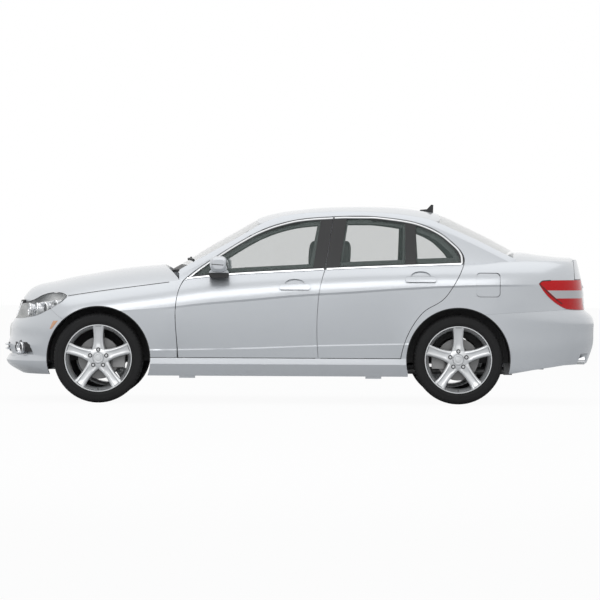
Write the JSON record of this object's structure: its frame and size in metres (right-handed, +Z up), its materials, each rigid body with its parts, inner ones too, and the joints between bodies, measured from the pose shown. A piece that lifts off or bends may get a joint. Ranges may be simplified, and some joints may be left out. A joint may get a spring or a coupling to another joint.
{
  "type": "four-door sedan car",
  "caption": "Silver three-box passenger car with hinged doors, hood, trunk lid and fuel flap, turning wheels and coupled front steering.",
  "frame": {"origin": "on the ground under the middle of the car's box", "axes": "+X to the rear, +Y to the car's right side, +Z up"},
  "size_m": [4.5375, 2.02, 1.5229],
  "materials": {
    "silver_paint": "metallic",
    "window_glass": "gloss",
    "lamp_lens": "gloss",
    "tail_lens": "gloss",
    "grille_finish": "gloss",
    "black_plastic": "matt",
    "steel": "satin",
    "cast_metal": "matt",
    "radiator_metal": "matt",
    "floor_paint": "matt",
    "wheel_alloy": "satin",
    "tyre_rubber": "matt",
    "cabin_plastic": "matt",
    "seat_leather": "matt"
  },
  "bodies": {
    "body": {"roof": "silver_paint", "body_side_left": "silver_paint", "body_side_right": "silver_paint", "front_bumper": "silver_paint", "rear_bumper": "silver_paint", "fender_left": "silver_paint", "fender_right": "silver_paint", "windshield": "window_glass", "rear_window": "window_glass", "headlamps": "lamp_lens", "tail_lamps": "tail_lens", "grille": "grille_finish", "cowl": "black_plastic", "arch_liners": "black_plastic", "antenna": "black_plastic", "front_subframe": "steel", "rear_subframe": "steel", "exhaust": "steel", "engine": "cast_metal", "radiator": "radiator_metal", "floor": "floor_paint", "firewall": "floor_paint", "front_rails": "floor_paint", "trunk_floor": "floor_paint", "dashboard": "cabin_plastic", "parcel_shelf": "cabin_plastic", "front_seats": "seat_leather", "rear_seat": "seat_leather"},
    "hood": {"hood": "silver_paint"},
    "trunk_lid": {"trunk_lid": "silver_paint"},
    "fuel_flap": {"fuel_flap": "silver_paint"},
    "steering_wheel": {"steering_wheel": "cabin_plastic"},
    "front_door_left": {"front_door_left": "silver_paint", "front_door_glass_left": "window_glass", "mirror_left": "silver_paint"},
    "rear_door_left": {"rear_door_left": "silver_paint", "rear_door_glass_left": "window_glass"},
    "knuckle_left": {"knuckle_left": "steel"},
    "wheel_front_left": {"wheel_front_left": "wheel_alloy", "tyre_front_left": "tyre_rubber"},
    "wheel_rear_left": {"wheel_rear_left": "wheel_alloy", "tyre_rear_left": "tyre_rubber"},
    "front_door_right": {"front_door_right": "silver_paint", "front_door_glass_right": "window_glass", "mirror_right": "silver_paint"},
    "rear_door_right": {"rear_door_right": "silver_paint", "rear_door_glass_right": "window_glass"},
    "knuckle_right": {"knuckle_right": "steel"},
    "wheel_front_right": {"wheel_front_right": "wheel_alloy", "tyre_front_right": "tyre_rubber"},
    "wheel_rear_right": {"wheel_rear_right": "wheel_alloy", "tyre_rear_right": "tyre_rubber"}
  },
  "joints": [
    {"name": "hood_hinge", "type": "hinge", "parent": "body", "child": "hood", "pos_m": [-0.918, 0, 1.03], "axis": [0, 1, 0], "range_deg": [0, 50]},
    {"name": "trunk_lid_hinge", "type": "hinge", "parent": "body", "child": "trunk_lid", "pos_m": [1.52, 0, 1.16], "axis": [0, -1, 0], "range_deg": [0, 80]},
    {"name": "fuel_flap_hinge", "type": "hinge", "parent": "body", "child": "fuel_flap", "pos_m": [1.336, -0.885, 0.905], "axis": [0, 0, -1], "range_deg": [0, 80]},
    {"name": "steering_wheel_turn", "type": "hinge", "parent": "body", "child": "steering_wheel", "pos_m": [-0.285, -0.37, 0.85], "axis": [0.9063, 0, 0.4226], "range_deg": [-450, 450]},
    {"name": "front_door_left_hinge", "type": "hinge", "parent": "body", "child": "front_door_left", "pos_m": [-0.9385, -0.886, 0.7], "axis": [0, 0, -1], "range_deg": [0, 65]},
    {"name": "rear_door_left_hinge", "type": "hinge", "parent": "body", "child": "rear_door_left", "pos_m": [0.1325, -0.886, 0.7], "axis": [0, 0, -1], "range_deg": [0, 65]},
    {"name": "steer_left", "type": "hinge", "parent": "body", "child": "knuckle_left", "pos_m": [-1.522, -0.752, 0.338], "axis": [0, 0, 1], "range_deg": [-35, 35]},
    {"name": "wheel_front_left_spin", "type": "hinge", "parent": "knuckle_left", "child": "wheel_front_left", "pos_m": [-1.522, -0.752, 0.338], "axis": [0, 1, 0], "continuous": true},
    {"name": "wheel_rear_left_spin", "type": "hinge", "parent": "body", "child": "wheel_rear_left", "pos_m": [1.201, -0.752, 0.338], "axis": [0, 1, 0], "continuous": true},
    {"name": "front_door_right_hinge", "type": "hinge", "parent": "body", "child": "front_door_right", "pos_m": [-0.9385, 0.886, 0.7], "axis": [0, 0, 1], "range_deg": [0, 65]},
    {"name": "rear_door_right_hinge", "type": "hinge", "parent": "body", "child": "rear_door_right", "pos_m": [0.1325, 0.886, 0.7], "axis": [0, 0, 1], "range_deg": [0, 65]},
    {"name": "steer_right", "type": "hinge", "parent": "body", "child": "knuckle_right", "pos_m": [-1.522, 0.752, 0.338], "axis": [0, 0, 1], "range_deg": [-35, 35]},
    {"name": "wheel_front_right_spin", "type": "hinge", "parent": "knuckle_right", "child": "wheel_front_right", "pos_m": [-1.522, 0.752, 0.338], "axis": [0, 1, 0], "continuous": true},
    {"name": "wheel_rear_right_spin", "type": "hinge", "parent": "body", "child": "wheel_rear_right", "pos_m": [1.201, 0.752, 0.338], "axis": [0, 1, 0], "continuous": true}
  ],
  "couplings": [
    {"joint": "steer_right", "follows": "steer_left", "ratio": 1},
    {"joint": "steering_wheel_turn", "follows": "steer_left", "ratio": 12.857}
  ]
}
